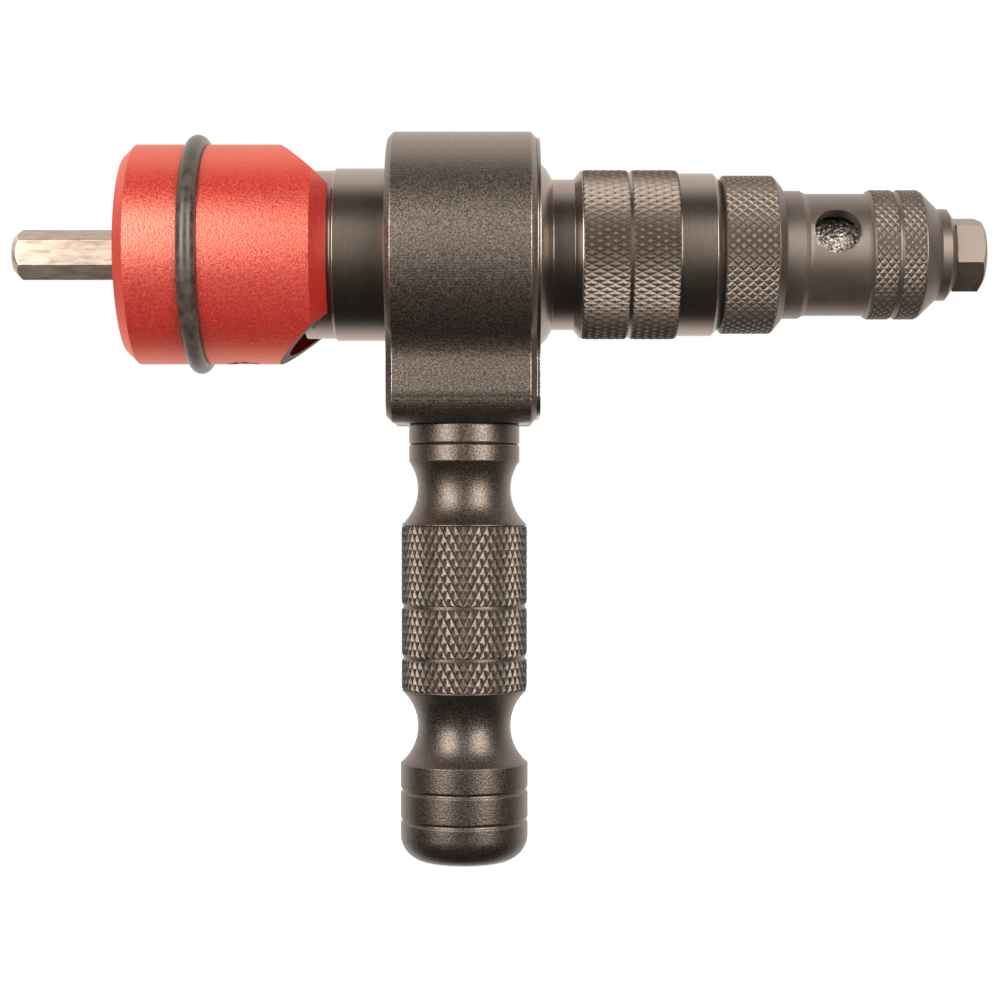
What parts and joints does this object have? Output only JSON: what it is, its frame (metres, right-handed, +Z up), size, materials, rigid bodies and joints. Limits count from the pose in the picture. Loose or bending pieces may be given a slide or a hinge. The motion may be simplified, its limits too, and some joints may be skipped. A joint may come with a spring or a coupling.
{
  "type": "rivet drill adapter",
  "caption": "T-handled drill adapter that pulls blind rivets: a hexagonal shank and red drum turn a screw that draws split jaws back through a knurled barrel.",
  "frame": {"origin": "centre of the drive shank's free end face, on the barrel's axis", "axes": "+X along the barrel, from the drive shank to the nosepiece; +Z up, so the handle hangs along -Z; +Y away from the picture's viewer"},
  "size_m": [0.177, 0.0446, 0.1331],
  "materials": {
    "bright_steel": "nickel plated, satin",
    "red_anodised": "bead blasted, red anodised",
    "rubber_ring": "smooth moulded rubber",
    "black_anodised": "bead blasted, black anodised",
    "black_steel": "black oxide, turned and knurled",
    "bearing_steel": "polished hardened steel",
    "nut_bronze": "turned bronze"
  },
  "bodies": {
    "frame": {"collar": "black_anodised", "cover_plate": "black_steel", "handle_lock_ring": "black_anodised", "handle_stud": "bright_steel", "handle_grip": "black_anodised", "barrel": "black_steel", "lock_ring": "black_steel", "nose_housing": "black_steel", "nosepiece": "black_steel", "front_thrust_washer": "bearing_steel", "bearing_outer_race": "bearing_steel"},
    "rotor": {"hex_shank": "bright_steel", "shank_lock_nut": "bright_steel", "drum": "red_anodised", "bumper_ring": "rubber_ring", "spindle": "black_steel", "drive_nut": "nut_bronze", "nut_retaining_ring": "bearing_steel", "rear_thrust_washer": "bearing_steel", "bearing_inner_race": "bearing_steel", "spindle_snap_ring": "bearing_steel"},
    "thrust_ball_set": {"thrust_balls": "bearing_steel", "thrust_cage": "nut_bronze"},
    "bearing_ball_set": {"bearing_balls": "bearing_steel"},
    "puller": {"draw_tube": "bright_steel", "guide_pins": "bearing_steel", "jaw_case": "bright_steel", "jaw_spring": "bearing_steel"},
    "pusher": {"jaw_pusher": "bright_steel"},
    "first_jaw": {"jaw_1": "bearing_steel"},
    "second_jaw": {"jaw_2": "bearing_steel"},
    "third_jaw": {"jaw_3": "bearing_steel"}
  },
  "joints": [
    {"name": "drive_spin", "type": "hinge", "parent": "frame", "child": "rotor", "pos_m": [0.0746, 0, 0], "axis": [1, 0, 0], "range_deg": [0, 1440]},
    {"name": "thrust_cage_spin", "type": "hinge", "parent": "frame", "child": "thrust_ball_set", "pos_m": [0.0746, 0, 0], "axis": [1, 0, 0], "range_deg": [0, 720]},
    {"name": "bearing_ball_spin", "type": "hinge", "parent": "frame", "child": "bearing_ball_set", "pos_m": [0.0821, 0, 0], "axis": [1, 0, 0], "range_deg": [0, 622]},
    {"name": "draw_slide", "type": "slide", "parent": "frame", "child": "puller", "axis": [-1, 0, 0], "range_m": [0, 0.012]},
    {"name": "pusher_slide", "type": "slide", "parent": "puller", "child": "pusher", "axis": [1, 0, 0], "range_m": [0, 0.003], "deforming": ["jaw_spring"]},
    {"name": "first_jaw_slide", "type": "slide", "parent": "puller", "child": "first_jaw", "axis": [0.9781, 0, -0.2079], "range_m": [0, 0.0031]},
    {"name": "second_jaw_slide", "type": "slide", "parent": "puller", "child": "second_jaw", "axis": [0.9781, 0.1801, 0.104], "range_m": [0, 0.0031]},
    {"name": "third_jaw_slide", "type": "slide", "parent": "puller", "child": "third_jaw", "axis": [0.9781, -0.1801, 0.104], "range_m": [0, 0.0031]}
  ],
  "couplings": [
    {"joint": "thrust_cage_spin", "follows": "drive_spin", "ratio": 0.5},
    {"joint": "bearing_ball_spin", "follows": "drive_spin", "ratio": 0.4314},
    {"joint": "draw_slide", "follows": "drive_spin", "m_per_rad": 0.00047746},
    {"joint": "pusher_slide", "follows": "drive_spin", "m_per_rad": 0.00011936},
    {"joint": "first_jaw_slide", "follows": "drive_spin", "m_per_rad": 0.00012202},
    {"joint": "second_jaw_slide", "follows": "drive_spin", "m_per_rad": 0.00012202},
    {"joint": "third_jaw_slide", "follows": "drive_spin", "m_per_rad": 0.00012202}
  ]
}
